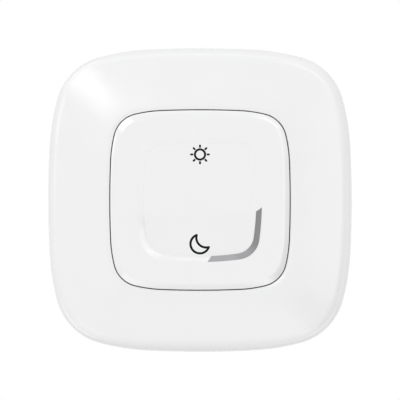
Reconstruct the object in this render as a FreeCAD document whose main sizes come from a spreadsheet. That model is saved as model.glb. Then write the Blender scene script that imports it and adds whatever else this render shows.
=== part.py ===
import FreeCAD, Part
import math
import os
import Sketcher
from FreeCAD import Placement, Rotation, Vector

# Wireless scene switch with one rocker key, as it hangs on a wall.
# X is to the right, Z is up and the front looks along -Y. The wall is the plane y = 0, and the
# origin is the middle of the switch's back. Depths are measured from the wall towards the room.

doc = FreeCAD.newDocument("SceneSwitch")
sheet = doc.addObject("Spreadsheet::Sheet", "Sizes")


class Size:
    """A size as a number, with the sheet expression that it comes from."""

    def __init__(self, number, text):
        self.number = float(number)
        self.text = text

    def __add__(self, other):
        other = as_size(other)
        return Size(self.number + other.number, f"({self.text} + {other.text})")

    def __sub__(self, other):
        other = as_size(other)
        return Size(self.number - other.number, f"({self.text} - {other.text})")

    def __mul__(self, factor):
        return Size(self.number * factor, f"({self.text} * {factor})")

    def __neg__(self):
        return Size(-self.number, f"(-1 * {self.text})")


def as_size(value):
    if isinstance(value, Size):
        return value
    return Size(value, repr(float(value)))


# Outlines seen from the front. Half sizes are from the middle to the edge.
plate_half = 46.5
plate_side_radius = 319.0
plate_shoulder_radius = 72.5
plate_corner_radius = 18.3
plate_side_angle = 2.845
joint_half = 27.54
joint_side_radius = 302.7
joint_shoulder_radius = 41.3
joint_corner_radius = 8.5
joint_side_angle = 2.218
joint_gap = 0.3
scoop_inset = 8.59
scoop_side_radius = 94.1
scoop_corner_radius = 6.93
scoop_wall = 1.65
floor_side_radius = 80.1
floor_corner_radius = 5.8
strip_rise = 2.15

# Thicknesses in the order of the stack, from the wall to the key's face.
pad_thickness = 0.8
base_thickness = 1.6
module_floor = 1.2
battery_height = 3.2
contact_gap = 1.2
board_thickness = 1.0
component_space = 1.2
deck_thickness = 1.2
rocker_space = 1.0
carrier_thickness = 1.2
overcut = 1.0
embed = 0.2
key_wall = 1.8

# Key.
bevel_width = 1.75
bevel_height = 0.9
bevel_curve = 1.6
key_rise = 0.4
key_skirt_wall = 1.2
key_skirt_depth = 4.1
scoop_slope = 3.0
scoop_start = -3.0
bead_width = 4.0
bead_reach = 1.2
bead_height = 0.5
bead_offset = 9.0

# Light strip and light guide.
strip_clearance = 0.03
strip_flange = 0.8
guide_clearance = 0.05
guide_inset = 0.35
guide_shortening = 2.0
guide_rise = 0.7
guide_flange = 0.3
guide_flange_width = 0.4

# Cover plate.
cover_lift = 0.3
cover_wall = 1.6
cover_draft = 0.35
shoulder_radius = 4.2
face_fall = 1.0
shoulder_fall = 0.2
face_break = 9.0
face_break_fall = 0.5
collar_wall = 1.2
collar_depth = 3.9
tongue_offset = 11.0
tongue_width = 7.0
tongue_thickness = 1.1
tongue_nose = 0.9
tongue_overlap = 0.4
tongue_root = 0.8
catch_clearance = 0.3
rib_offset = 3.0
rib_thickness = 1.2
rib_inset = 0.65
rib_overhang = 1.0
rib_root = 0.3

# Mounting plate.
base_inset = 5.5
rim_thickness = 1.4
rim_height = 3.6
window_radius = 19.0
screw_circle = 60.0
wall_screw_radius = 1.8
wall_boss_radius = 3.9
wall_boss_height = 0.8
pad_width = 14.0
pad_length = 14.0
pad_inset = 12.5
pad_clearance = 0.1
arm_offset = 12.0
arm_width = 7.0
arm_thickness = 1.2
arm_height = 4.8
arm_nose = 0.9
nose_height = 0.8
nose_clearance = 0.1
catch_height = 2.2
catch_run_out = 0.6
fit_clearance = 0.2

# Housings and what they hold.
housing_inset = 1.8
housing_side_radius = 150.0
housing_corner_radius = 8.0
housing_wall = 1.4
board_ledge = 1.0
boss_inset = 6.09
boss_radius = 2.5
screw_radius = 1.0
screw_head_radius = 1.7
screw_head_height = 1.3
screw_sink = 0.1
screw_length = 6.8
screw_clearance = 0.15
pilot_clearance = 0.03
pilot_run_out = 0.2
battery_radius = 10.0
battery_cap_inset = 1.4
battery_edge = 0.3
crimp_height = 0.8
crimp_width = 0.35
cell_clearance = 0.15
door_edge = 0.75
door_flange = 0.8
door_flange_height = 0.5
door_lug = 1.3
door_lug_height = 0.75
lug_place = 90.0
door_lug_half_angle = 14.0
door_notch_half_angle = 17.0
door_notch_place = 60.0
door_lug_clearance = 0.05
door_clearance = 0.1
door_ring_wall = 1.0
door_ring_height = 1.6
well_wall = 1.0
well_clearance = 0.3
well_lowering = 0.4
coin_slot_length = 12.0
coin_slot_width = 1.8
contact_sheet = 0.25
contact_width = 4.0
leaf_foot = 9.0
leaf_bend = 3.5
leaf_touch = 0.9
leaf_tail = 1.2
leaf_curl = 1.0
leaf_curl_rise = 0.4
leaf_slant = 0.1
clip_foot = 4.5
clip_reach = 2.6

# Parts on the board: middle, size across and height of each.
radio_x = -11.5
radio_z = 3.0
radio_width = 15.0
radio_length = 12.0
radio_board = 0.3
shield_width = 13.6
shield_length = 9.0
shield_drop = 0.8
shield_height = 0.7
chip_x = 10.5
chip_z = 4.0
chip_side = 6.0
chip_height = 0.8
crystal_x = 16.5
crystal_z = 7.5
crystal_width = 2.5
crystal_length = 3.2
crystal_height = 0.7
diode_width = 2.0
diode_length = 1.25
diode_height = 0.55
diode_window = 1.2
diode_rise = 0.8

# Rocker works.
pin_radius = 1.0
pin_clearance = 0.05
pin_lift = 0.1
post_inset = 1.39
post_width = 2.2
post_half_height = 2.2
post_rise = 1.8
stop_offset = 8.0
stop_width = 3.0
lug_half_height = 1.8
lug_lift = 0.15
lug_thickness = 1.5
pin_overlap = 0.7
side_clearance = 0.25
post_clearance = 0.5
carrier_clearance = 0.5
carrier_bar = 5.5
carrier_tongue = 5.0
plunger_inset = 11.54
stem_radius = 1.5
stem_clearance = 0.05
stem_tip = 0.2
head_radius = 3.1
head_rim = 0.25
head_crown = 0.2
head_flat = 1.2
touch_gap = 0.05
spring_seat_radius = 3.5
spring_seat_depth = 0.9
guide_sleeve_radius = 4.3
guide_sleeve_length = 0.5
spring_radius = 2.3
spring_wire = 0.3
spring_turns = 2.5
dome_radius = 3.0
dome_height = 0.6
dome_crown_radius = 1.6
dome_crown = 0.15
dome_sheet = 0.12

# Each size above gets a row of the sheet, and from here on its name stands for that cell.
for row, (alias, value) in enumerate([item for item in vars().items() if type(item[1]) is float], 1):
    sheet.set(f"A{row}", alias)
    sheet.set(f"B{row}", str(value))
    sheet.setAlias(f"B{row}", alias)
    vars()[alias] = Size(value, f"Sizes.{alias}")

# Depths from the wall, added up through the stack.
wall_plane = as_size(0)
base_front = base_thickness
floor_front = base_front + module_floor
battery_front = floor_front + battery_height
board_back = battery_front + contact_gap
board_front = board_back + board_thickness
deck_back = board_front + component_space
deck_front = deck_back + deck_thickness
carrier_back = deck_front + rocker_space
carrier_front = carrier_back + carrier_thickness
key_face = carrier_front + key_wall
key_edge = key_face - bevel_height
key_skirt_back = key_edge - key_skirt_depth
cover_front = key_edge - key_rise
pin_depth = deck_front + pin_lift + pin_radius
rim_front = base_front + rim_height
catch_front = base_front + catch_height
nose_front = base_front + arm_height
nose_back = nose_front - nose_height
boss_joint = board_back + board_thickness * 0.5
strip_back = carrier_front - strip_flange
dome_top = board_front + dome_height
guide_back = deck_back - guide_flange
guide_front = deck_front + guide_rise

scoop_half = joint_half - scoop_inset
floor_half = scoop_half - scoop_wall
strip_reach = scoop_half + strip_rise
plunger_place = joint_half - plunger_inset


class Outline:
    """A square with softly bowed sides. Each eighth of it is a side arc, a shoulder arc and half of
    the corner arc, each tangent to the next. Without a shoulder the side arc meets the corner arc."""

    def __init__(self, half, side, shoulder, corner, side_angle):
        self.half = half
        self.side = side
        self.shoulder = shoulder
        self.corner = corner
        self.side_angle = side_angle

    def grown(self, by):
        shoulder = None if self.shoulder is None else self.shoulder + by
        return Outline(self.half + by, self.side + by, shoulder, self.corner + by, self.side_angle)

    def mixed(self, other, half):
        """The outline of the given half size on the way from this one to the other."""
        share = (half - self.half) / (other.half - self.half)

        def between(start, end):
            return start + (end - start) * share

        return Outline(
            half,
            between(self.side, other.side),
            between(self.shoulder, other.shoulder),
            between(self.corner, other.corner),
            between(self.side_angle, other.side_angle),
        )

    def eighth(self):
        """Centres, radii and end angles of the arcs from the X axis to the diagonal."""
        arcs = []
        centre = Vector(self.half - self.side, 0, 0)
        radius = self.side
        angle = 0.0
        if self.shoulder is not None:
            turn = math.radians(self.side_angle)
            arcs.append((centre, radius, angle, turn))
            centre = centre + Vector(math.cos(turn), math.sin(turn), 0) * (radius - self.shoulder)
            radius = self.shoulder
            angle = turn
        needed = (centre.y - centre.x) / (radius - self.corner)
        turn = math.acos(needed / math.sqrt(2)) - math.pi / 4
        arcs.append((centre, radius, angle, turn))
        centre = centre + Vector(math.cos(turn), math.sin(turn), 0) * (radius - self.corner)
        arcs.append((centre, self.corner, turn, math.pi / 4))
        return arcs

    def arcs(self):
        """All arcs of the closed outline, as geometry for a sketch."""
        side, *between, corner = self.eighth()
        result = []
        for quarter in range(4):
            start = quarter * math.pi / 2
            turned = Rotation(Vector(0, 0, 1), math.degrees(start))
            result.append(arc(turned.multVec(side[0]), side[1], start - side[3], start))
            result.append(arc(turned.multVec(side[0]), side[1], start, start + side[3]))
            for centre, radius, first, last in between:
                result.append(arc(turned.multVec(centre), radius, start + first, start + last))
            far = start + math.pi / 2
            result.append(arc(turned.multVec(corner[0]), corner[1], start + corner[2], far - corner[2]))
            for centre, radius, first, last in reversed(between):
                mirrored = Vector(centre.y, centre.x, 0)
                result.append(arc(turned.multVec(mirrored), radius, far - last, far - first))
        return result


def arc(centre, radius, first, last):
    return Part.ArcOfCircle(Part.Circle(centre, Vector(0, 0, 1), radius), first, last)


plate_outline = Outline(
    plate_half.number,
    plate_side_radius.number,
    plate_shoulder_radius.number,
    plate_corner_radius.number,
    plate_side_angle.number,
)
joint_outline = Outline(
    joint_half.number,
    joint_side_radius.number,
    joint_shoulder_radius.number,
    joint_corner_radius.number,
    joint_side_angle.number,
)
opening_outline = joint_outline.grown(joint_gap.number / 2)
key_outline = joint_outline.grown(-joint_gap.number / 2)
carrier_outline = key_outline.grown(-key_skirt_wall.number - carrier_clearance.number)
scoop_outline = Outline(scoop_half.number, scoop_side_radius.number, None, scoop_corner_radius.number, 0)
floor_outline = Outline(floor_half.number, floor_side_radius.number, None, floor_corner_radius.number, 0)

# The half size of the housings and of the key's hollow, for what stands beside them.
housing_half = joint_half - joint_gap * 0.5 - housing_inset
key_hollow_half = joint_half - joint_gap * 0.5 - key_skirt_wall
boss_place = housing_half - boss_inset
post_inner = housing_half - post_inset - post_width
pad_place = plate_half - base_inset - pad_inset
battery_cap_radius = battery_radius - battery_cap_inset
door_ring_inner = battery_radius + cell_clearance
door_ring_outer = door_ring_inner + door_ring_wall
door_radius = door_ring_outer + door_edge
housing_outline = Outline(
    housing_half.number,
    housing_side_radius.number,
    None,
    housing_corner_radius.number,
    0,
)


def new_body(label):
    body = doc.addObject("PartDesign::Body", label)
    body.Label = label
    return body


def datum(body, role):
    for feature in body.Origin.OriginFeatures:
        if feature.Role == role:
            return feature
    raise ValueError(role)


def sketch_on(body, name, role, offset):
    """A sketch on one of the body's own origin planes, moved along the plane's normal."""
    sketch = body.newObject("Sketcher::SketchObject", name)
    sketch.AttachmentSupport = [(datum(body, role), "")]
    sketch.MapMode = "FlatFace"
    sketch.setExpression(".AttachmentOffset.Base.z", as_size(offset).text)
    return sketch


def front_sketch(body, name, depth):
    """A sketch seen from the front: its x is X, its y is Z, and it lies at a depth from the wall."""
    return sketch_on(body, name, "XZ_Plane", depth)


def section_sketch(body, name):
    """A sketch seen from above in the plane z = 0: its x is X, and its y is minus the depth."""
    return sketch_on(body, name, "XY_Plane", 0)


def draw_outline(sketch, outline):
    for curve in outline.arcs():
        index = sketch.addGeometry(curve, False)
        sketch.addConstraint(Sketcher.Constraint("Block", index))


def fix_coordinate(sketch, kind, geometry, point, size):
    index = sketch.addConstraint(Sketcher.Constraint(kind, geometry, point, size.number))
    sketch.setExpression(f"Constraints[{index}]", size.text)


def draw_circle(sketch, x, y, radius):
    x = as_size(x)
    y = as_size(y)
    radius = as_size(radius)
    circle = Part.Circle(Vector(x.number, y.number, 0), Vector(0, 0, 1), radius.number)
    index = sketch.addGeometry(circle, False)
    fix_coordinate(sketch, "DistanceX", index, 3, x)
    fix_coordinate(sketch, "DistanceY", index, 3, y)
    which = sketch.addConstraint(Sketcher.Constraint("Radius", index, radius.number))
    sketch.setExpression(f"Constraints[{which}]", radius.text)


def draw_polygon(sketch, points, bows=None):
    """A closed outline through the points. bows gives the radius of a side that is an arc, by the
    number of the point that it starts from: positive bows to the right of the way it is drawn."""
    bows = bows or {}
    corners = [(as_size(x), as_size(y)) for x, y in points]
    count = len(corners)
    first_geometry = None
    previous_end = None
    first_start = None
    for number in range(count):
        start = Vector(corners[number][0].number, corners[number][1].number, 0)
        after = corners[(number + 1) % count]
        end = Vector(after[0].number, after[1].number, 0)
        ends = (1, 2)
        if number in bows:
            bow = as_size(bows[number])
            middle = (start + end) * 0.5
            half_chord = (end - start) * 0.5
            across = Vector(-half_chord.y, half_chord.x, 0).normalize()
            lift = math.sqrt(bow.number ** 2 - half_chord.Length ** 2)
            side = 1 if bow.number > 0 else -1
            centre = middle + across * (lift * side)
            first = math.atan2(start.y - centre.y, start.x - centre.x)
            last = math.atan2(end.y - centre.y, end.x - centre.x)
            if side < 0:
                first, last = last, first
                ends = (2, 1)
            if last < first:
                last += 2 * math.pi
            index = sketch.addGeometry(arc(centre, abs(bow.number), first, last), False)
            radius = sketch.addConstraint(Sketcher.Constraint("Radius", index, abs(bow.number)))
            sketch.setExpression(f"Constraints[{radius}]", (bow if side > 0 else -bow).text)
        else:
            index = sketch.addGeometry(Part.LineSegment(start, end), False)
        fix_coordinate(sketch, "DistanceX", index, ends[0], corners[number][0])
        fix_coordinate(sketch, "DistanceY", index, ends[0], corners[number][1])
        if first_geometry is None:
            first_geometry = index
            first_start = ends[0]
        else:
            joined = (previous_end[0], previous_end[1], index, ends[0])
            sketch.addConstraint(Sketcher.Constraint("Coincident", *joined))
        previous_end = (index, ends[1])
    closing = (previous_end[0], previous_end[1], first_geometry, first_start)
    sketch.addConstraint(Sketcher.Constraint("Coincident", *closing))


def draw_rectangle(sketch, low_x, low_y, high_x, high_y):
    draw_polygon(sketch, [(low_x, low_y), (high_x, low_y), (high_x, high_y), (low_x, high_y)])


def pad(body, name, sketch, length):
    feature = body.newObject("PartDesign::Pad", name)
    feature.Profile = sketch
    feature.setExpression("Length", as_size(length).text)
    return feature


def pocket(body, name, sketch, length):
    """Cut from the sketch towards the wall."""
    feature = body.newObject("PartDesign::Pocket", name)
    feature.Profile = sketch
    feature.setExpression("Length", as_size(length).text)
    return feature


def pad_between(body, name, draw, back, front):
    """Pad what draw puts into a front sketch, from one depth to another."""
    sketch = front_sketch(body, f"{name}Sketch", back)
    draw(sketch)
    return pad(body, name, sketch, as_size(front) - back)


def pocket_between(body, name, draw, back, front):
    """Cut what draw puts into a front sketch, from one depth to another."""
    sketch = front_sketch(body, f"{name}Sketch", front)
    draw(sketch)
    return pocket(body, name, sketch, as_size(front) - back)


def loft(body, kind, name, sections, ruled):
    """Loft outlines given as (outline, depth) pairs; kind is AdditiveLoft or SubtractiveLoft."""
    sketches = []
    for number, (outline, depth) in enumerate(sections):
        sketch = front_sketch(body, f"{name}Section{number}", depth)
        draw_outline(sketch, outline)
        sketches.append(sketch)
    feature = body.newObject(f"PartDesign::{kind}", name)
    feature.Profile = sketches[0]
    feature.Sections = sketches[1:]
    feature.Ruled = ruled
    return feature


def revolve(body, name, points, bows=None):
    """Turn a section, given as (radius, depth) points, about the axis that runs through the wall.
    The sketch's y is minus the depth, so a bow changes sides on its way there."""
    sketch = section_sketch(body, f"{name}Sketch")
    turned = {number: -as_size(bow) for number, bow in (bows or {}).items()}
    draw_polygon(sketch, [(radius, -as_size(depth)) for radius, depth in points], turned)
    feature = body.newObject("PartDesign::Revolution", name)
    feature.Profile = sketch
    feature.ReferenceAxis = (sketch, ["V_Axis"])
    feature.Angle = 360
    return feature


def around(body, name, features, count):
    """Repeat features evenly round the axis that runs through the wall."""
    doc.recompute()
    pattern = body.newObject("PartDesign::PolarPattern", name)
    pattern.Originals = features
    pattern.Axis = (datum(body, "Y_Axis"), [""])
    pattern.Angle = 360
    pattern.Occurrences = count
    body.Tip = pattern
    return pattern


def draw_strip(sketch, grow, shorten=0.0):
    """The light strip's outline: the part of the scoop's wall that lies to the lower right of a
    slanting cut. grow widens it all round, and shorten takes length off both of its ends."""
    reach = strip_reach.number - grow * math.sqrt(2) + shorten
    ends = []
    for outline in (scoop_outline.grown(grow), floor_outline.grown(-grow)):
        side, corner = outline.eighth()
        centre, radius, _, turn = side
        share = (reach - centre.x) / (radius * math.sqrt(2))
        tip = math.pi / 4 - math.acos(share)
        below = -math.pi / 2
        lower = Vector(0, centre.x, 0) * -1
        sketch.addGeometry(arc(lower, radius, below + tip, below + turn), False)
        middle = Vector(corner[0].x, -corner[0].y, 0)
        sketch.addGeometry(arc(middle, corner[1], below + turn, -turn), False)
        sketch.addGeometry(arc(centre, radius, -turn, -tip), False)
        right = centre + Vector(math.cos(tip), -math.sin(tip), 0) * radius
        ends.append(right)
    outer, inner = ends
    sketch.addGeometry(Part.LineSegment(outer, inner), False)
    outer_low = Vector(-outer.y, -outer.x, 0)
    inner_low = Vector(-inner.y, -inner.x, 0)
    sketch.addGeometry(Part.LineSegment(outer_low, inner_low), False)
    for index in range(sketch.GeometryCount):
        sketch.addConstraint(Sketcher.Constraint("Block", index))


def cut_scoop(body):
    """Cut the finger scoop. Its rim is level in the key's face. Its floor is a plane that leans
    back below the line where it starts, and the wall between them dies out towards that line."""
    above = front_sketch(body, "ScoopAbove", key_face + overcut * 2)
    draw_outline(above, scoop_outline)
    rim = front_sketch(body, "ScoopRim", key_face)
    draw_outline(rim, scoop_outline)
    bottom = front_sketch(body, "ScoopFloor", key_face)
    lean = Rotation(Vector(1, 0, 0), scoop_slope.number)
    bottom.AttachmentOffset = Placement(Vector(0, scoop_start.number, key_face.number), lean)
    bottom.setExpression(".AttachmentOffset.Base.y", scoop_start.text)
    bottom.setExpression(".AttachmentOffset.Rotation.Angle", scoop_slope.text)
    for curve in floor_outline.arcs():
        curve.translate(Vector(0, -scoop_start.number, 0))
        index = bottom.addGeometry(curve, False)
        bottom.addConstraint(Sketcher.Constraint("Block", index))
    feature = body.newObject("PartDesign::SubtractiveLoft", "Scoop")
    feature.Profile = above
    feature.Sections = [rim, bottom]
    feature.Ruled = True
    return feature


both_sides = (-1, 1)


def signed(size, sign):
    return size if sign > 0 else -size


# Adhesive pads: foam tape, pressed level with the back of the mounting plate.

def adhesive_pad(label, side, height):
    body = new_body(label)

    def draw(sketch):
        half_width = pad_width * 0.5
        half_length = pad_length * 0.5
        draw_rectangle(sketch, -half_width, -half_length, half_width, half_length)

    pad_between(body, "Foam", draw, wall_plane, pad_thickness)
    body.setExpression(".Placement.Base.x", signed(pad_place, side).text)
    body.setExpression(".Placement.Base.z", signed(pad_place, height).text)


for height_name, height in (("upper", 1), ("lower", -1)):
    for side_name, side in (("left", -1), ("right", 1)):
        adhesive_pad(f"adhesive_pad_{height_name}_{side_name}", side, height)


# Mounting plate: a moulded sheet with a rim for the cover plate's catches, four screw holes and
# four snap arms that hold the module.

def mounting_plate():
    body = new_body("mounting_plate")
    sheet_outline = plate_outline.grown(-base_inset.number)
    rim_half = plate_half - base_inset

    pad_between(body, "Sheet", lambda s: draw_outline(s, sheet_outline), wall_plane, base_front)

    def draw_rim(sketch):
        draw_outline(sketch, sheet_outline)
        draw_outline(sketch, sheet_outline.grown(-rim_thickness.number))

    pad_between(body, "Rim", draw_rim, base_front, rim_front)

    place = screw_circle * 0.5
    boss = pad_between(
        body,
        "ScrewBoss",
        lambda s: draw_circle(s, place, 0, wall_boss_radius),
        base_front,
        base_front + wall_boss_height,
    )
    around(body, "ScrewBosses", [boss], 4)

    def draw_arms(sketch):
        inner = housing_half + fit_clearance
        for side in both_sides:
            for height in both_sides:
                middle = signed(arm_offset, height)
                low = middle - arm_width * 0.5
                high = middle + arm_width * 0.5
                near = signed(inner, side)
                far = signed(inner + arm_thickness, side)
                draw_rectangle(sketch, near, low, far, high)

    pad_between(body, "Arms", draw_arms, base_front, nose_front)

    def draw_noses(sketch):
        outer = housing_half + fit_clearance
        for side in both_sides:
            for height in both_sides:
                middle = signed(arm_offset, height)
                low = middle - arm_width * 0.5
                high = middle + arm_width * 0.5
                near = signed(outer - arm_nose, side)
                far = signed(outer, side)
                draw_rectangle(sketch, near, low, far, high)

    pad_between(body, "Noses", draw_noses, nose_back, nose_front)

    hole = pocket_between(
        body,
        "ScrewHole",
        lambda s: draw_circle(s, place, 0, wall_screw_radius),
        wall_plane,
        base_front + wall_boss_height,
    )
    around(body, "ScrewHoles", [hole], 4)
    pocket_between(body, "Window", lambda s: draw_circle(s, 0, 0, window_radius), wall_plane, base_front)

    def draw_pads(sketch):
        half_width = pad_width * 0.5 + pad_clearance
        half_length = pad_length * 0.5 + pad_clearance
        for side in both_sides:
            for height in both_sides:
                x = signed(pad_place, side)
                z = signed(pad_place, height)
                draw_rectangle(sketch, x - half_width, z - half_length, x + half_width, z + half_length)

    pocket_between(body, "PadRecesses", draw_pads, wall_plane, pad_thickness)

    def draw_catch(sketch):
        half = tongue_width * 0.5 + fit_clearance
        for height in both_sides:
            middle = signed(tongue_offset, height)
            inner = rim_half - rim_thickness - catch_run_out
            draw_rectangle(sketch, inner, middle - half, rim_half + catch_run_out, middle + half)

    catch = pocket_between(body, "Catch", draw_catch, base_front, catch_front)
    around(body, "Catches", [catch], 4)


# Cover plate: a moulded shell. A drafted rim, a rolled shoulder and a slightly falling face, with
# a collar round the key. Eight tongues catch the mounting plate, and eight ribs rest on its rim.

def shell_sections(wall, last, turns):
    """Outlines from the rim, over the rolled shoulder and up the face to the last outline. They lie
    inside the plate's skin by the wall, and the shoulder turns through the given angles."""
    inset = cover_draft.number + wall.number
    roll = shoulder_radius.number - wall.number
    level = cover_front - face_fall - wall
    sections = [(plate_outline.grown(-wall.number), cover_lift)]
    for turn in turns:
        angle = math.radians(turn)
        across = roll * (1 - math.cos(angle))
        sunk = roll * (1 - math.sin(angle))
        sections.append((plate_outline.grown(-inset - across), level - shoulder_fall - sunk))
    sections.append((plate_outline.grown(-inset - roll), level - shoulder_fall * 0.5))
    sections.append((plate_outline.grown(-face_break.number), cover_front - face_break_fall - wall))
    sections.append((last, cover_front - wall))
    return sections


def cover_plate():
    body = new_body("cover_plate")
    skin = as_size(0)
    loft(body, "AdditiveLoft", "Shell", shell_sections(skin, opening_outline, (0, 22.5, 45, 67.5)), True)
    collar_outer = opening_outline.grown(collar_wall.number)
    loft(body, "SubtractiveLoft", "Hollow", shell_sections(cover_wall, collar_outer, (0, 45)), True)

    def draw_collar(sketch):
        draw_outline(sketch, collar_outer)
        draw_outline(sketch, opening_outline)

    collar_back = cover_front - collar_depth
    pad_between(body, "Collar", draw_collar, collar_back, cover_front - cover_wall * 0.5)
    pocket_between(
        body,
        "Opening",
        lambda s: draw_outline(s, opening_outline),
        cover_lift,
        cover_front + overcut,
    )

    tongue_inner = plate_half - base_inset + fit_clearance
    tongue_back = base_front - tongue_overlap
    root = cover_wall + tongue_root

    def draw_tongues(sketch):
        for height in both_sides:
            middle = signed(tongue_offset, height)
            half = tongue_width * 0.5
            outer = tongue_inner + tongue_thickness
            draw_rectangle(sketch, tongue_inner, middle - half, outer, middle + half)

    tongues = pad_between(body, "Tongues", draw_tongues, tongue_back, cover_front - root)

    def draw_noses(sketch):
        for height in both_sides:
            middle = signed(tongue_offset, height)
            half = tongue_width * 0.5 - fit_clearance
            inner = tongue_inner - tongue_nose
            draw_rectangle(sketch, inner, middle - half, tongue_inner, middle + half)

    low = base_front + catch_clearance
    noses = pad_between(body, "TongueNoses", draw_noses, low, catch_front - catch_clearance)

    def draw_ribs(sketch):
        for height in both_sides:
            middle = signed(rib_offset, height)
            half = rib_thickness * 0.5
            inner = plate_half - base_inset - rim_thickness - rib_overhang
            outer = plate_half - cover_draft - cover_wall - rib_inset
            draw_rectangle(sketch, inner, middle - half, outer, middle + half)

    ribs = pad_between(body, "Ribs", draw_ribs, rim_front, cover_front - cover_wall - rib_root)
    around(body, "TonguesAndRibs", [tongues, noses, ribs], 4)


# Rear housing: a tray with the battery well, screw bosses and a ledge for the circuit board.

def rear_housing():
    body = new_body("rear_housing")
    pad_between(body, "Block", lambda s: draw_outline(s, housing_outline), base_front, board_front)
    ledge_outline = housing_outline.grown(-housing_wall.number)
    well_outline = ledge_outline.grown(-board_ledge.number)
    pocket_between(body, "BoardSeat", lambda s: draw_outline(s, ledge_outline), board_back, board_front)
    pocket_between(body, "Tray", lambda s: draw_outline(s, well_outline), floor_front, board_back)

    hole_radius = door_radius + door_clearance
    lug_radius = door_radius + door_lug
    well_inner = lug_radius + well_clearance

    def draw_well(sketch):
        draw_circle(sketch, 0, 0, well_inner + well_wall)
        draw_circle(sketch, 0, 0, well_inner)

    pad_between(body, "BatteryWell", draw_well, floor_front, board_back - well_lowering)
    boss = pad_between(
        body,
        "Boss",
        lambda s: draw_circle(s, boss_place, boss_place, boss_radius),
        floor_front,
        boss_joint,
    )
    around(body, "Bosses", [boss], 4)
    drill = pocket_between(
        body,
        "ScrewWay",
        lambda s: draw_circle(s, boss_place, boss_place, screw_radius + screw_clearance),
        base_front,
        boss_joint,
    )
    head_seat = pocket_between(
        body,
        "ScrewSeat",
        lambda s: draw_circle(s, boss_place, boss_place, screw_head_radius + screw_clearance),
        base_front,
        base_front + screw_sink + screw_head_height,
    )
    around(body, "ScrewWays", [drill, head_seat], 4)

    pocket_between(body, "DoorHole", lambda s: draw_circle(s, 0, 0, hole_radius), base_front, floor_front)
    flange_radius = door_radius + door_flange + door_clearance
    pocket_between(
        body,
        "FlangeSeat",
        lambda s: draw_circle(s, 0, 0, flange_radius),
        base_front,
        base_front + door_flange_height,
    )

    def draw_notch(sketch):
        inner = door_radius - overcut * 0.5
        outer = lug_radius + door_clearance
        draw_sector(sketch, inner, outer, lug_place + door_notch_place, door_notch_half_angle)

    notch = pocket_between(body, "Notch", draw_notch, base_front, floor_front)
    around(body, "Notches", [notch], 3)

    def draw_catches(sketch):
        for side in both_sides:
            for height in both_sides:
                middle = signed(arm_offset, height)
                half = arm_width * 0.5 + fit_clearance
                near = signed(housing_half - arm_nose, side)
                far = signed(housing_half + fit_clearance, side)
                draw_rectangle(sketch, near, middle - half, far, middle + half)

    catch_back = nose_back - nose_clearance
    pocket_between(body, "ArmCatches", draw_catches, catch_back, nose_front + nose_clearance * 2)


def draw_sector(sketch, inner, outer, middle_angle, half_angle):
    """A piece of a ring, given by its radii, its middle angle and half its angle in degrees."""
    inner = as_size(inner)
    outer = as_size(outer)
    first = math.radians((middle_angle - half_angle).number)
    last = math.radians((middle_angle + half_angle).number)
    draw_polygon(
        sketch,
        [
            (inner * math.cos(first), inner * math.sin(first)),
            (outer * math.cos(first), outer * math.sin(first)),
            (outer * math.cos(last), outer * math.sin(last)),
            (inner * math.cos(last), inner * math.sin(last)),
        ],
        {1: outer, 3: -inner},
    )


# Battery cover: turned with a coin, held by three lugs in front of the housing's floor. Its ring
# centres the cell.

def battery_cover():
    body = new_body("battery_cover")
    step = base_front + door_flange_height
    ring_front = floor_front + door_ring_height
    flange = door_radius + door_flange
    revolve(
        body,
        "Disc",
        [
            (0, base_front),
            (flange, base_front),
            (flange, step),
            (door_radius, step),
            (door_radius, floor_front),
            (door_ring_outer, floor_front),
            (door_ring_outer, ring_front),
            (door_ring_inner, ring_front),
            (door_ring_inner, floor_front),
            (0, floor_front),
        ],
    )

    def draw_lug(sketch):
        inner = door_ring_outer - embed * 2
        draw_sector(sketch, inner, door_radius + door_lug, lug_place, door_lug_half_angle)

    lug_back = floor_front + door_lug_clearance
    lug = pad_between(body, "Lug", draw_lug, lug_back, lug_back + door_lug_height)
    around(body, "Lugs", [lug], 3)

    def draw_slot(sketch):
        half_length = coin_slot_length * 0.5
        half_width = coin_slot_width * 0.5
        draw_rectangle(sketch, -half_length, -half_width, half_length, half_width)

    pocket_between(body, "CoinSlot", draw_slot, base_front, base_front + module_floor * 0.5)


# Coin cell: a can with a crimped edge round the smaller cap, which faces the circuit board.

def battery():
    body = new_body("battery")
    crimp_top = battery_front - battery_edge
    revolve(
        body,
        "Cell",
        [
            (0, floor_front),
            (battery_radius - battery_edge, floor_front),
            (battery_radius, floor_front + battery_edge),
            (battery_radius, battery_front - crimp_height),
            (battery_cap_radius + crimp_width, crimp_top),
            (battery_cap_radius, crimp_top),
            (battery_cap_radius - battery_edge, battery_front),
            (0, battery_front),
        ],
    )


def bent_strip(body, name, points, width):
    """A sheet-metal strip whose section is seen from above, equally wide either side of z = 0."""
    sketch = section_sketch(body, f"{name}Sketch")
    draw_polygon(sketch, [(x, -as_size(depth)) for x, depth in points])
    feature = pad(body, name, sketch, width)
    feature.Midplane = True


def battery_contacts():
    leaf = new_body("battery_negative_contact")
    foot = board_back - contact_sheet
    touch = battery_front + contact_sheet
    bent_strip(
        leaf,
        "Leaf",
        [
            (leaf_foot, board_back),
            (leaf_bend - leaf_slant, board_back),
            (leaf_touch, touch),
            (leaf_slant - leaf_tail, touch),
            (-leaf_tail - leaf_curl + contact_sheet, touch + leaf_curl_rise),
            (-leaf_tail - leaf_curl, battery_front + leaf_curl_rise),
            (-leaf_tail, battery_front),
            (leaf_touch, battery_front),
            (leaf_bend, foot),
            (leaf_foot, foot),
        ],
        contact_width,
    )
    clip = new_body("battery_positive_contact")
    inside = -battery_radius
    outside = inside - contact_sheet
    tip = board_back - clip_reach
    bent_strip(
        clip,
        "Clip",
        [
            (inside - clip_foot, board_back),
            (inside, board_back),
            (inside, tip),
            (outside, tip),
            (outside, foot),
            (inside - clip_foot, foot),
        ],
        contact_width,
    )


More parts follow.
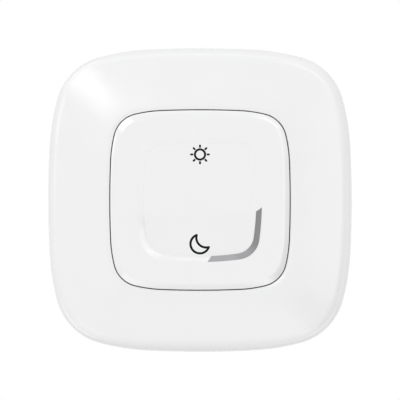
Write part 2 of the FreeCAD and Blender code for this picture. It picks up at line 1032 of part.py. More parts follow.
# Circuit board: follows the housing's wall, with its corners cut away for the screw bosses.

def circuit_board():
    body = new_body("circuit_board")
    outline = housing_outline.grown(-housing_wall.number - fit_clearance.number)
    pad_between(body, "Board", lambda s: draw_outline(s, outline), board_back, board_front)
    near = boss_place - boss_radius - fit_clearance
    far = housing_half

    def draw_corners(sketch):
        for side in both_sides:
            for height in both_sides:
                draw_rectangle(
                    sketch,
                    signed(near, side),
                    signed(near, height),
                    signed(far, side),
                    signed(far, height),
                )

    pocket_between(body, "Corners", draw_corners, board_back, board_front)


def block(body, name, x, z, width, height, back, front):
    """A box on the board: middle, size across and the depths between which it stands."""
    pad_between(
        body,
        name,
        lambda s: draw_rectangle(
            s,
            as_size(x) - width * 0.5,
            as_size(z) - height * 0.5,
            as_size(x) + width * 0.5,
            as_size(z) + height * 0.5,
        ),
        back,
        front,
    )


def board_parts():
    radio = new_body("radio_module")
    can_back = board_front + radio_board
    can_z = radio_z - shield_drop
    block(radio, "RadioBoard", radio_x, radio_z, radio_width, radio_length, board_front, can_back)
    can = (radio_x, can_z, shield_width, shield_length)
    block(radio, "ShieldCan", *can, can_back, can_back + shield_height)
    chip = new_body("controller_chip")
    package = (chip_x, chip_z, chip_side, chip_side)
    block(chip, "Package", *package, board_front, board_front + chip_height)
    crystal = new_body("timing_crystal")
    can = (crystal_x, crystal_z, crystal_width, crystal_length)
    block(crystal, "Can", *can, board_front, board_front + crystal_height)
    diode = new_body("indicator_diode")
    diode_front = board_front + diode_height
    block(diode, "Package", 0, 0, diode_width, diode_length, board_front, diode_front)
    block(diode, "Lens", 0, 0, diode_window, diode_length, board_front + embed, board_front + diode_rise)
    place = strip_middle()
    diode.Placement = Placement(Vector(place, 0, -place), Rotation(Vector(0, 1, 0), -45))


def strip_middle():
    """Where the middle line of the light strip crosses the diagonal, along each axis."""
    total = 0.0
    for outline in (scoop_outline, floor_outline):
        centre, radius, _, _ = outline.eighth()[-1]
        total += centre.x + radius / math.sqrt(2)
    return total / 2


# Snap domes: thin sprung discs on the board, under the plungers.

def snap_dome(label, height):
    body = new_body(label)
    shoulder = dome_top - dome_crown
    revolve(
        body,
        "Disc",
        [
            (dome_radius, board_front),
            (dome_crown_radius, shoulder),
            (0, dome_top),
            (0, dome_top - dome_sheet),
            (dome_crown_radius, shoulder - dome_sheet),
            (dome_radius - dome_sheet * 3, board_front),
        ],
    )
    body.setExpression(".Placement.Base.z", signed(plunger_place, height).text)


# Front housing: the deck over the board, with guides for the plungers, posts for the rocker's
# pins, a slot for the light guide and stops that hold the board on its ledge.

def front_housing():
    body = new_body("front_housing")
    pad_between(body, "Block", lambda s: draw_outline(s, housing_outline), board_front, deck_front)
    inner = housing_outline.grown(-housing_wall.number)
    pocket_between(body, "Hollow", lambda s: draw_outline(s, inner), board_front, deck_back)

    wall_face = housing_half - housing_wall

    def draw_stops(sketch):
        for height in both_sides:
            middle = signed(stop_offset, height)
            half = stop_width * 0.5
            inner_end = wall_face - board_ledge
            draw_rectangle(sketch, inner_end, middle - half, wall_face + embed, middle + half)

    stops = pad_between(body, "Stops", draw_stops, board_front, deck_back + embed)
    boss = pad_between(
        body,
        "Boss",
        lambda s: draw_circle(s, boss_place, boss_place, boss_radius),
        boss_joint,
        deck_back + embed,
    )
    around(body, "StopsAndBosses", [stops, boss], 4)
    pilot = pocket_between(
        body,
        "Pilot",
        lambda s: draw_circle(s, boss_place, boss_place, screw_radius + pilot_clearance),
        boss_joint,
        base_front + screw_sink + screw_head_height + screw_length + pilot_run_out,
    )
    around(body, "Pilots", [pilot], 4)

    def draw_at_plungers(sketch, radius):
        for height in both_sides:
            draw_circle(sketch, 0, signed(plunger_place, height), radius)

    sleeve_back = deck_back - guide_sleeve_length
    pad_between(
        body,
        "Sleeves",
        lambda s: draw_at_plungers(s, guide_sleeve_radius),
        sleeve_back,
        deck_back + embed,
    )
    pocket_between(
        body,
        "SpringSeats",
        lambda s: draw_at_plungers(s, spring_seat_radius),
        deck_front - spring_seat_depth,
        deck_front,
    )
    pocket_between(
        body,
        "GuideBores",
        lambda s: draw_at_plungers(s, stem_radius + stem_clearance),
        sleeve_back,
        deck_front,
    )
    pocket_between(
        body,
        "LightSlot",
        lambda s: draw_strip(s, guide_clearance.number - guide_inset.number, guide_shortening.number),
        deck_back,
        deck_front,
    )
    post_front = deck_front + post_rise
    for side_name, inner_end in (("Right", post_inner), ("Left", -(post_inner + post_width))):
        sketch = sketch_on(body, f"{side_name}PostSketch", "YZ_Plane", inner_end)
        root = -deck_front + embed
        draw_rectangle(sketch, -post_front, -post_half_height, root, post_half_height)
        pad(body, f"{side_name}Post", sketch, post_width)
    bore_end = post_inner + post_width + overcut
    sketch = sketch_on(body, "PinBoreSketch", "YZ_Plane", bore_end)
    draw_circle(sketch, -pin_depth, 0, pin_radius + pin_clearance)
    pocket(body, "PinBore", sketch, bore_end * 2)


# Housing screws: four slotted screws, turned in from the back.

def housing_screws():
    screws = []
    for number, (side, height) in enumerate(((1, 1), (-1, 1), (-1, -1), (1, -1)), 1):
        head_back = base_front + screw_sink
        shank = cylinder(f"Shank{number}", screw_radius, head_back + screw_head_height * 0.5,
                         screw_length + screw_head_height * 0.5)
        head = cylinder(f"Head{number}", screw_head_radius, head_back, screw_head_height)
        slot = doc.addObject("Part::Box", f"Slot{number}")
        slot.setExpression("Length", (screw_head_radius * 2.4).text)
        slot.setExpression("Width", (screw_head_height * 0.45).text)
        slot.setExpression("Height", (screw_radius * 0.5).text)
        slot.setExpression(".Placement.Base.x", (screw_head_radius * -1.2).text)
        slot.setExpression(".Placement.Base.y", (-(head_back + screw_head_height * 0.45)).text)
        slot.setExpression(".Placement.Base.z", (screw_radius * -0.25).text)
        blank = doc.addObject("Part::Fuse", f"Blank{number}")
        blank.Base = shank
        blank.Tool = head
        screw = doc.addObject("Part::Cut", f"Screw{number}")
        screw.Base = blank
        screw.Tool = slot
        screw.setExpression(".Placement.Base.x", signed(boss_place, side).text)
        screw.setExpression(".Placement.Base.z", signed(boss_place, height).text)
        screws.append(screw)
    group = doc.addObject("Part::Compound", "housing_screws")
    group.Label = "housing_screws"
    group.Links = screws
    return group


def cylinder(name, radius, back, length):
    """A cylinder that runs from a depth towards the room."""
    feature = doc.addObject("Part::Cylinder", name)
    feature.Placement = Placement(Vector(0, 0, 0), Rotation(Vector(1, 0, 0), 90))
    feature.setExpression("Radius", radius.text)
    feature.setExpression("Height", length.text)
    feature.setExpression(".Placement.Base.y", (-back).text)
    return feature


# Light guide: a clear curved bar that stands in the deck and carries the diode's light forward.

def light_guide():
    body = new_body("light_guide")
    short = guide_shortening.number
    inset = guide_inset.number
    pad_between(body, "Bar", lambda s: draw_strip(s, -inset, short), guide_back, guide_front)
    wide = guide_flange_width.number
    pad_between(body, "Flange", lambda s: draw_strip(s, wide, short), guide_back, deck_back)


# Key cap: a shallow tray turned face out, with a soft bevel, the finger scoop and the strip's slot.

def key_cap():
    body = new_body("key_cap")
    pad_between(body, "Skirt", lambda s: draw_outline(s, key_outline), key_skirt_back, key_edge)
    bevel = []
    for across in (0, 1 / 3, 2 / 3, 1):
        climb = 1 - (1 - across) ** bevel_curve.number
        bevel.append((key_outline.grown(-across * bevel_width.number), key_edge + bevel_height * climb))
    loft(body, "AdditiveLoft", "Bevel", bevel, True)
    hollow = key_outline.grown(-key_skirt_wall.number)
    pocket_between(body, "Hollow", lambda s: draw_outline(s, hollow), key_skirt_back, carrier_front)
    cut_scoop(body)
    slot_end = key_face + overcut
    pocket_between(body, "StripSlot", lambda s: draw_strip(s, 0.0), carrier_front, slot_end)

    def draw_beads(sketch):
        for side in both_sides:
            for height in both_sides:
                middle = signed(bead_offset, height)
                near = signed(key_hollow_half - bead_reach, side)
                far = signed(key_hollow_half + key_skirt_wall * 0.5, side)
                half = bead_width * 0.5
                draw_rectangle(sketch, near, middle - half, far, middle + half)

    bead_front = carrier_back - touch_gap
    pad_between(body, "SnapBeads", draw_beads, bead_front - bead_height, bead_front)


# Light strip: a milky inlay whose front carries the scoop's wall on, with a flange behind the key.

def key_lens():
    body = new_body("key_lens")
    fit = -strip_clearance.number
    pad_between(body, "Flange", lambda s: draw_strip(s, strip_flange.number), strip_back, carrier_front)
    root = carrier_front - embed
    pad_between(body, "Strip", lambda s: draw_strip(s, fit), root, key_face + overcut)
    cut_scoop(body)


# Key carrier: the rocking frame that the key snaps onto, with the pivot pins and a tongue in front
# of each plunger.

def key_carrier():
    body = new_body("key_carrier")
    window = carrier_outline.grown(-carrier_bar.number)

    def draw_frame(sketch):
        draw_outline(sketch, carrier_outline)
        draw_outline(sketch, window)

    pad_between(body, "Frame", draw_frame, carrier_back, carrier_front)
    carrier_half = key_hollow_half - carrier_clearance
    tongue_end = plunger_place - head_radius

    def draw_tongues(sketch):
        for height in both_sides:
            far = signed(carrier_half - carrier_bar * 0.5, height)
            near = signed(tongue_end, height)
            draw_rectangle(sketch, -carrier_tongue, near, carrier_tongue, far)

    pad_between(body, "Tongues", draw_tongues, carrier_back, carrier_front)

    lug_back = deck_front + lug_lift
    inner_face = post_inner - side_clearance
    outer_face = post_inner + post_width + side_clearance
    lug_end = carrier_half - side_clearance

    def draw_lugs(sketch):
        for side in both_sides:
            for near, far in ((inner_face - lug_thickness, inner_face), (outer_face, lug_end)):
                draw_rectangle(
                    sketch,
                    signed(near, side),
                    -lug_half_height,
                    signed(far, side),
                    lug_half_height,
                )

    pad_between(body, "Lugs", draw_lugs, lug_back, carrier_back + embed)

    def draw_post_slots(sketch):
        half = post_half_height + post_clearance
        for side in both_sides:
            draw_rectangle(sketch, signed(inner_face, side), -half, signed(outer_face, side), half)

    pocket_between(body, "PostSlots", draw_post_slots, carrier_back, carrier_front)
    pin_start = inner_face - pin_overlap
    pin_length = outer_face + pin_overlap - pin_start
    for side_name, start in (("Right", pin_start), ("Left", -(pin_start + pin_length))):
        sketch = sketch_on(body, f"{side_name}PinSketch", "YZ_Plane", start)
        draw_circle(sketch, -pin_depth, 0, pin_radius)
        pad(body, f"{side_name}Pin", sketch, pin_length)
    slot_grow = strip_flange.number + fit_clearance.number
    pocket_between(body, "StripSlot", lambda s: draw_strip(s, slot_grow), carrier_back, carrier_front)


# Plungers: each slides in its guide, between the carrier and a snap dome.

def plunger(label, height):
    body = new_body(label)
    crown_top = carrier_back - touch_gap
    rim_top = crown_top - head_crown
    rim_back = rim_top - head_rim
    stem_back = dome_top + touch_gap
    revolve(
        body,
        "Plunger",
        [
            (0, stem_back),
            (stem_radius - stem_tip, stem_back),
            (stem_radius, stem_back + stem_tip),
            (stem_radius, rim_back),
            (head_radius, rim_back),
            (head_radius, rim_top),
            (head_flat, crown_top),
            (0, crown_top),
        ],
    )
    body.setExpression(".Placement.Base.z", signed(plunger_place, height).text)


# Return springs: short coils round the plungers, between the guide's seat and the plunger's head.

def return_spring(label, height):
    body = new_body(label)
    seat = deck_front - spring_seat_depth
    head = carrier_back - touch_gap - head_crown - head_rim
    sketch = section_sketch(body, "WireSketch")
    start = seat + spring_wire * 0.5
    half = spring_wire * 0.5
    corners = [(0, -1), (1, 0), (0, 1), (-1, 0)]
    draw_polygon(sketch, [(spring_radius + half * x, -start + half * y) for x, y in corners])
    coil = body.newObject("PartDesign::AdditiveHelix", "Coil")
    coil.Profile = sketch
    coil.ReferenceAxis = (datum(body, "Y_Axis"), [""])
    coil.Mode = "height-turns-angle"
    coil.setExpression("Turns", spring_turns.text)
    coil.setExpression("Height", (head - seat - spring_wire).text)
    coil.Reversed = True
    body.setExpression(".Placement.Base.z", signed(plunger_place, height).text)


mounting_plate()
cover_plate()
rear_housing()
battery_cover()
battery()
battery_contacts()
circuit_board()
board_parts()
front_housing()
screw_group = housing_screws()
light_guide()
key_cap()
key_lens()
key_carrier()
for height_name, height in (("upper", 1), ("lower", -1)):
    snap_dome(f"{height_name}_snap_dome", height)
    plunger(f"{height_name}_plunger", height)
    return_spring(f"{height_name}_return_spring", height)

doc.recompute()

for item in doc.Objects:
    if "Invalid" in item.State or "Error" in item.State:
        raise RuntimeError(f"{item.Name} of {item.Label} failed: {item.State}")

sub_parts = [item for item in doc.Objects if item.TypeId == "PartDesign::Body"]
sub_parts.append(screw_group)
for item in sub_parts:
    if item.Shape.isNull() or not item.Shape.isValid():
        raise RuntimeError(f"{item.Label} has no valid shape")

os.makedirs("parts", exist_ok=True)
for item in sub_parts:
    item.Shape.exportStep(f"parts/{item.Label}.step")
    print(f"{item.Label}: {len(item.Shape.Solids)} solid, {item.Shape.Volume:.1f} cubic mm")
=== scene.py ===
import bmesh
import bpy
import math
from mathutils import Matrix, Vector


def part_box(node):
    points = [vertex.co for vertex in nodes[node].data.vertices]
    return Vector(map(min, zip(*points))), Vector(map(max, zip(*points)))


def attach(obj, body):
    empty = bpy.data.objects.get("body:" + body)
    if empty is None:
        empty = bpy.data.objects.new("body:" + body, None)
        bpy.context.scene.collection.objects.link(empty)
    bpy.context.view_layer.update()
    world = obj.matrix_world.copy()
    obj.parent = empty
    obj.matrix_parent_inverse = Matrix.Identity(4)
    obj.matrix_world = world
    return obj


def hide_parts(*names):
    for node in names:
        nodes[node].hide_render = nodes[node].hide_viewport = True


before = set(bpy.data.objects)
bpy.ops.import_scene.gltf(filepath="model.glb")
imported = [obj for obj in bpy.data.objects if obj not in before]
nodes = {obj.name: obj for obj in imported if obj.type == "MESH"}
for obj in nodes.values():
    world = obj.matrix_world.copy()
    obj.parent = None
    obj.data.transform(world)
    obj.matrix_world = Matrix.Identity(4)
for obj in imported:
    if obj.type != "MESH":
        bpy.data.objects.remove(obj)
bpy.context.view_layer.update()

# Mounting plate: a light grey moulding that is glued or screwed to the wall. It carries the whole
# switch: the module snaps between its four arms and the cover plate's tongues catch its rim. The
# frame that carries the key is moulded in the same grey.


class Field:
    """A number or colour that changes over a surface: an output of a material's nodes."""

    def __init__(self, finish, socket):
        self.finish = finish
        self.socket = socket

    def join(self, operation, first, second=0.0):
        return self.finish.add("ShaderNodeMath", {"operation": operation}, {0: first, 1: second})

    def __add__(self, other):
        return self.join("ADD", self, other)

    __radd__ = __add__

    def __sub__(self, other):
        return self.join("SUBTRACT", self, other)

    def __rsub__(self, other):
        return self.join("SUBTRACT", other, self)

    def __mul__(self, other):
        return self.join("MULTIPLY", self, other)

    __rmul__ = __mul__

    def __abs__(self):
        return self.join("ABSOLUTE", self)

    def within(self, low, high):
        """0 below low, 1 above high and even in between."""
        inputs = {"Value": self, "From Min": low, "From Max": high}
        return self.finish.add("ShaderNodeMapRange", {"clamp": True}, inputs)


class Finish:
    """The nodes of a material or of the world. add() makes a node and the other calls use it."""

    def __init__(self, owner, **sockets):
        if isinstance(owner, str):
            owner = bpy.data.materials.new(owner)
        self.material = owner
        owner.use_nodes = True
        self.tree = owner.node_tree
        self.shader = self.tree.nodes.get("Principled BSDF")
        for socket, value in sockets.items():
            self.feed(self.shader.inputs[socket.replace("_", " ")], value)
        self.place = self.add("ShaderNodeTexCoord", {}, {}, "Object")

    def feed(self, socket, value):
        if isinstance(value, Field):
            self.tree.links.new(value.socket, socket)
        else:
            socket.default_value = value

    def add(self, kind, settings, inputs, output=0):
        node = self.tree.nodes.new(kind)
        for name, value in settings.items():
            setattr(node, name, value)
        for name, value in inputs.items():
            self.feed(node.inputs[name], value)
        return Field(self, node.outputs[output])

    def noise(self, scale, detail=2.0):
        inputs = {"Vector": self.place, "Scale": scale, "Detail": detail}
        return self.add("ShaderNodeTexNoise", {}, inputs)

    def blend(self, share, first, second):
        """The mix of two colours. A Mix node has them at inputs 6 and 7, and its result at 2."""
        return self.add("ShaderNodeMix", {"data_type": "RGBA"}, {0: share, 6: first, 7: second}, 2)

    def colour(self, value):
        self.feed(self.shader.inputs["Base Color"], value)

    def roughness(self, value):
        self.feed(self.shader.inputs["Roughness"], value)

    def relief(self, height, distance):
        inputs = {"Height": height, "Distance": distance, "Strength": 1.0}
        self.feed(self.shader.inputs["Normal"], self.add("ShaderNodeBump", {}, inputs))


def moulded(name, dark, light, roughness, grain, grain_height, **sockets):
    """A moulded plastic: two nearly equal colours in faint clouds, and a fine eroded grain."""
    cloud_scale = 90.0
    cloud_sheen = 0.08
    finish = Finish(name, **sockets)
    clouds = finish.noise(cloud_scale)
    finish.colour(finish.blend(clouds, (*dark, 1.0), (*light, 1.0)))
    finish.roughness(roughness + (clouds - 0.5) * cloud_sheen)
    finish.relief(finish.noise(grain, 1.0), grain_height)
    return finish


def dress(finish, *names):
    """Give CAD nodes this finish in place of the material that they came with."""
    for name in names:
        for slot in nodes[name].material_slots:
            slot.material = finish.material


backing = moulded(
    "backing_plastic", dark=(0.60, 0.61, 0.61), light=(0.66, 0.67, 0.67),
    roughness=0.5, grain=2500.0, grain_height=0.00002,
)
dress(backing, "mounting_plate", "key_carrier")

# Foam pads: dark closed-cell tape, cut square and stuck into the mounting plate's four recesses,
# level with the wall. The skin is dull and finely pitted.

foam = Finish("foam_tape")
pit_scale = 1800.0
pit_depth = 0.00008
pits = foam.noise(pit_scale)
foam.colour(foam.blend(pits, (0.05, 0.05, 0.052, 1.0), (0.10, 0.10, 0.105, 1.0)))
foam.roughness(0.85 + (pits - 0.5) * 0.2)
foam.relief(pits, pit_depth)
dress(foam, *[name for name in nodes if name.startswith("adhesive_pad")])

# Housings and battery cover: mid-grey mouldings. Four screws close the two shells round the board,
# and a slightly darker cover, which a coin turns into its bayonet, closes the battery well.

housing = moulded(
    "housing_plastic", dark=(0.50, 0.51, 0.52), light=(0.55, 0.56, 0.57),
    roughness=0.48, grain=2500.0, grain_height=0.00002,
)
dress(housing, "rear_housing", "front_housing")
lid = moulded(
    "cover_plastic", dark=(0.42, 0.43, 0.44), light=(0.46, 0.47, 0.48),
    roughness=0.45, grain=3000.0, grain_height=0.000015,
)
dress(lid, "battery_cover")

# Metal parts: the coin cell's satin can, the contacts and snap domes pressed from nickel-plated
# sheet, the springs wound from drawn wire, the tinned cans soldered to the board, and the
# zinc-plated screws.


def metal(name, dark, light, roughness, scale):
    """A metal with faint rubbed patches in its colour, sheen and surface."""
    rub_sheen = 0.2
    rub_depth = 0.000005
    finish = Finish(name, Metallic=1.0)
    rubbed = finish.noise(scale, 4.0)
    finish.colour(finish.blend(rubbed, (*dark, 1.0), (*light, 1.0)))
    finish.roughness(roughness + (rubbed - 0.5) * rub_sheen)
    finish.relief(rubbed, rub_depth)
    return finish


can = metal("cell_steel", (0.60, 0.60, 0.59), (0.70, 0.70, 0.69), roughness=0.28, scale=700.0)
dress(can, "battery")
plated = metal("nickel_plate", (0.62, 0.60, 0.56), (0.72, 0.70, 0.66), roughness=0.22, scale=900.0)
dress(plated, *[name for name in nodes if name.endswith(("contact", "snap_dome"))])
wire = metal("spring_wire", (0.45, 0.45, 0.45), (0.58, 0.58, 0.58), roughness=0.3, scale=1500.0)
dress(wire, "upper_return_spring", "lower_return_spring")
tinned = metal("tinned_sheet", (0.58, 0.59, 0.60), (0.68, 0.69, 0.70), roughness=0.35, scale=500.0)
dress(tinned, "radio_module", "timing_crystal")
zinc = metal("zinc_plate", (0.55, 0.56, 0.57), (0.68, 0.68, 0.67), roughness=0.33, scale=1200.0)
dress(zinc, "housing_screws")

# Circuit board: glass-fibre laminate with copper tracks under green solder mask, held on a ledge
# of the rear housing. The black chip that is soldered to it is cast in resin.

board = Finish("solder_mask", Coat_Weight=0.3)
tracks = board.add("ShaderNodeTexBrick", {"offset": 0.3}, {
    "Vector": board.place, "Scale": 260.0, "Mortar Size": 0.06,
    "Color1": (1.0, 1.0, 1.0, 1.0), "Color2": (0.8, 0.8, 0.8, 1.0), "Mortar": (0.0, 0.0, 0.0, 1.0),
}, "Fac")
board.colour(board.blend(tracks, (0.012, 0.11, 0.045, 1.0), (0.03, 0.19, 0.08, 1.0)))
board.roughness(0.3 + tracks * 0.1)
dress(board, "circuit_board")
resin = moulded(
    "chip_resin", dark=(0.012, 0.012, 0.013), light=(0.025, 0.025, 0.027),
    roughness=0.6, grain=4000.0, grain_height=0.00001,
)
dress(resin, "controller_chip")

# Light guide and diode: the diode is soldered to the board. A clear moulded bar, which stands in
# the front housing, carries its light to the light strip.

guide = moulded(
    "guide_plastic", dark=(0.70, 0.73, 0.75), light=(0.78, 0.80, 0.82),
    roughness=0.15, grain=2000.0, grain_height=0.000004,
)
dress(guide, "light_guide", "indicator_diode")

# Plungers: two pins moulded from slippery off-white plastic. Each slides in a guide of the front
# housing and passes the key's push on to the snap dome behind it.

acetal = moulded(
    "plunger_plastic", dark=(0.74, 0.74, 0.71), light=(0.80, 0.80, 0.77),
    roughness=0.4, grain=2000.0, grain_height=0.00001,
)
dress(acetal, "upper_plunger", "lower_plunger")

# Cover plate: a white satin moulding with softly bowed sides and large corners. Its face falls
# from the key's opening to a rolled shoulder, and a drafted rim meets the wall. Behind it eight
# tongues catch the mounting plate's rim and eight ribs rest on it.

plate_low, plate_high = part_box("cover_plate")
plate_half = plate_high.x
plate_front = -plate_low.y
plate_back = -plate_high.y


class Outline:
    """A square of the given half size with softly bowed sides. An eighth of it is a side arc, a
    shoulder arc, where it has one, and half of the corner arc. The turn is the side arc's."""

    def __init__(self, half, side, corner, shoulder=None, turn=0.0):
        middle = half - side
        across = 0.0
        reach = side
        self.arcs = []
        if shoulder:
            end = math.radians(turn)
            self.arcs.append((middle, across, reach, end))
            middle += math.cos(end) * (reach - shoulder)
            across += math.sin(end) * (reach - shoulder)
            reach = shoulder
        end = math.acos((across - middle) / (reach - corner) / math.sqrt(2)) - math.pi / 4
        self.arcs.append((middle, across, reach, end))
        middle += math.cos(end) * (reach - corner)
        across += math.sin(end) * (reach - corner)
        self.arcs.append((middle, across, corner, math.pi / 4))

    def reach(self, angle, grow=0.0):
        """The distance from the middle to the outline, grown outwards, at an angle in degrees."""
        folded = abs(angle) % 90.0
        folded = math.radians(min(folded, 90.0 - folded))
        for middle, across, radius, end in self.arcs:
            radius += grow
            edge = math.atan2(across + radius * math.sin(end), middle + radius * math.cos(end))
            if folded <= edge + 1e-9:
                break
        along = middle * math.cos(folded) + across * math.sin(folded)
        square = along * along - middle * middle - across * across + radius * radius
        return along + math.sqrt(square)


def polar(angle, reach):
    """The x and z of a point at a distance from the middle, at an angle in degrees."""
    return reach * math.cos(math.radians(angle)), reach * math.sin(math.radians(angle))


# A ring's points lie on these spokes, a degree apart.
spokes = [number + 0.5 for number in range(360)]


def lay_ring(piece, number, reach, depth, warp=None):
    """Move the selected points to a ring, and note its number. The ring is a reach for an angle, a
    depth from the wall, which may also be a function of x and z, and, where its points don't lie
    evenly, their angles."""
    shell = bmesh.from_edit_mesh(piece.data)
    spoke = shell.verts.layers.int["spoke"]
    row = shell.verts.layers.int["row"]
    for point in shell.verts:
        if point.select:
            angle = spokes[point[spoke]]
            if warp:
                angle = warp(angle)
            x, z = polar(angle, reach(angle))
            point.co = (x, -(depth(x, z) if callable(depth) else depth), z)
            point[row] = number
    bmesh.update_edit_mesh(piece.data)


def sweep(name, rings):
    """Extrude a circle from one ring to the next. The last ring stays selected."""
    bpy.ops.object.select_all(action="DESELECT")
    bpy.ops.mesh.primitive_circle_add(vertices=len(spokes), radius=plate_half, fill_type="NOTHING")
    piece = bpy.context.object
    piece.name = name
    bpy.ops.object.mode_set(mode="EDIT")
    shell = bmesh.from_edit_mesh(piece.data)
    for layer in ("spoke", "row"):
        shell.verts.layers.int.new(layer)
    spoke = shell.verts.layers.int["spoke"]
    for index, point in enumerate(shell.verts):
        point[spoke] = index
    lay_ring(piece, 0, *rings[0])
    for number, ring in enumerate(rings[1:], 1):
        bpy.ops.mesh.extrude_edges_indiv()
        lay_ring(piece, number, *ring)
    return piece


def finish_shell(piece, finish, body, node, sharp=35.0):
    """Turn the faces outwards, shade them smooth up to a break, and hand the piece to its body."""
    bpy.ops.object.mode_set(mode="EDIT")
    bpy.ops.mesh.select_all(action="SELECT")
    bpy.ops.mesh.normals_make_consistent(inside=False)
    bpy.ops.object.mode_set(mode="OBJECT")
    bpy.ops.object.shade_smooth_by_angle(angle=math.radians(sharp))
    piece.data.materials.append(finish.material)
    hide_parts(node)
    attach(piece, body)


plate_outline = Outline(plate_half, side=0.319, shoulder=0.0725, corner=0.0183, turn=2.845)
joint_outline = Outline(0.02754, side=0.3027, shoulder=0.0413, corner=0.0085, turn=2.218)
joint_gap = 0.0003
plate_wall = 0.0016
collar_wall = 0.0012
collar_depth = 0.0039
edge_radius = 0.00025
edge_turns = (30.0, 60.0, 90.0)
draft = 0.00035
half_draft_height = 0.004
shoulder_radius = 0.0042
shoulder_turn = 86.0
shoulder_steps = 14
shoulder_fall = 0.0002
face_fall = 0.0010
face_extra_fall = shoulder_fall * 0.6
face_curve = 1.5
face_lead = 1.15
face_steps = 12


def ring_of(outline, grow=0.0, share=1.0):
    """A ring along an outline, grown outwards or at a share of its size."""
    return lambda angle: outline.reach(angle, grow) * share


def plate_ring(inset):
    return ring_of(plate_outline, -inset)


def opening_ring(grow):
    return ring_of(joint_outline, joint_gap / 2 + grow)


def between(first, second, share):
    """A ring, or the spokes' angles, at a share of the way from the first to the second."""
    return lambda angle: first(angle) * (1 - share) + second(angle) * share


def skin(wall, opening):
    """Rings over the shoulder and up the face, inside the plate's skin by the wall."""
    rings = []
    start = draft + wall
    roll = shoulder_radius - wall
    level = plate_front - face_fall - shoulder_fall - wall
    for step in range(shoulder_steps + 1):
        turn = math.radians(shoulder_turn) * step / shoulder_steps
        inset = start + roll * (1 - math.cos(turn))
        rings.append((plate_ring(inset), level - roll * (1 - math.sin(turn))))
    face_start = plate_ring(start + roll * face_lead)
    for step in range(1, face_steps + 1):
        share = step / face_steps
        fall = (face_fall + face_extra_fall) * (1 - share) ** face_curve
        rings.append((between(face_start, opening, share), plate_front - fall - wall))
    return rings


outside = [
    (plate_ring(0.0), plate_back),
    (plate_ring(draft * 0.5), plate_back + half_draft_height),
]
outside += skin(0.0, opening_ring(edge_radius))
for turn in edge_turns:
    turn = math.radians(turn)
    outside.append((
        opening_ring(edge_radius * (1 - math.sin(turn))),
        plate_front - edge_radius * (1 - math.cos(turn)),
    ))
outside.append((opening_ring(0.0), plate_front - collar_depth))
outside.append((opening_ring(collar_wall), plate_front - collar_depth))
inside = skin(plate_wall, opening_ring(collar_wall))
inside.reverse()
inside.append((plate_ring(plate_wall), plate_back))
cover_plate = sweep("cover_plate_shell", outside + inside)

shell = bmesh.from_edit_mesh(cover_plate.data)
row = shell.verts.layers.int["row"]
end_rows = (0, len(outside + inside) - 1)
for edge in shell.edges:
    first, last = [point[row] for point in edge.verts]
    edge.select_set(first == last and first in end_rows)
shell.select_flush_mode()
bmesh.update_edit_mesh(cover_plate.data)
bpy.ops.mesh.bridge_edge_loops()


def add_blocks(near, far, low, high, back, front):
    """Add a box to the piece in hand, its mirror image, and both at the other three sides."""
    for turn in range(4):
        for side in (1, -1):
            corners = []
            for x, z in ((near, low * side), (far, high * side)):
                for _ in range(turn):
                    x, z = -z, x
                corners.append((x, z))
            (first_x, first_z), (last_x, last_z) = corners
            bpy.ops.mesh.primitive_cube_add(
                size=1.0,
                location=((first_x + last_x) / 2, -(back + front) / 2, (first_z + last_z) / 2),
                scale=(abs(last_x - first_x), front - back, abs(last_z - first_z)),
            )


# The tongues, the catches on them, and the ribs.
add_blocks(near=0.0412, far=0.0423, low=0.0075, high=0.0145, back=0.0012, front=0.0109)
add_blocks(near=0.0403, far=0.0412, low=0.0077, high=0.0143, back=0.0019, front=0.0035)
add_blocks(near=0.0386, far=0.0439, low=0.0024, high=0.0036, back=0.0052, front=0.0114)

white_look = {
    "dark": (0.850, 0.850, 0.848), "light": (0.870, 0.870, 0.868),
    "roughness": 0.16, "grain": 3500.0, "grain_height": 0.000001,
}
white = moulded("white_plastic", IOR=1.6, **white_look)
finish_shell(cover_plate, white, "housing", "cover_plate")

# Key cap: one rocker moulded in the same white, which snaps on to its carrier. A soft bevel runs
# all round it, and a shallow finger scoop bends back below its middle. The bevel and the scoop's
# wall, which dies out upwards, are polished.

key_low, key_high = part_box("key_cap")
key_face = -key_low.y
key_back = -key_high.y
carrier_front = -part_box("key_carrier")[0].y
skirt_wall = 0.0012
skirt_lip = 0.0001
skirt_lip_inset = 0.00004
bevel_width = 0.0019
bevel_height = 0.0009
bevel_curve = 1.4
bevel_start = 0.05
bevel_steps = 10
face_edge = 0.0002
scoop_edge = 0.0003
scoop_outline = Outline(0.01892, side=0.0941, corner=0.00690)
floor_outline = Outline(0.01719, side=0.0801, corner=0.00575)
scoop_top = -0.003
scoop_bottom = -0.0173
scoop_depth = 0.0011
scoop_curve = 1.7
wall_shares = ((0.12, 0.09), (0.3, 0.28), (0.7, 0.72), (0.88, 0.91), (1.0, 1.0))
floor_shares = (0.94, 0.87, 0.79, 0.7, 0.6, 0.5, 0.4, 0.3, 0.2, 0.1, 0.03)
slot_floor = carrier_front + 0.00005
back_middle = 0.015

# The spokes at the strip's two ends, the last spoke that isn't shifted for them, and x - z where
# the slanting ends cross the scoop's outline and its floor's.
strip_spokes = (279.5, 350.5)
even_until = 240.0
scoop_cut = 0.02115
floor_cut = 0.0206


def sunk(x, z):
    """The depth of the scoop's floor from the wall. It bends back from the key's face."""
    below = max(0.0, scoop_top - z)
    return key_face - scoop_depth * (below / (scoop_top - scoop_bottom)) ** scoop_curve


def part_sunk(share):
    """A depth that is a share of the way from the key's face to the scoop's floor."""
    return lambda x, z: key_face - (key_face - sunk(x, z)) * share


def end_angle(outline, cut):
    """The angle below the X axis at which an outline meets the strip's slanting end. It is worked
    out above the axis, where the outline is the same."""
    low, high = 0.0, 45.0
    for _ in range(40):
        angle = (low + high) / 2
        x, z = polar(angle, outline.reach(angle))
        low, high = (angle, high) if x + z < cut else (low, angle)
    return low


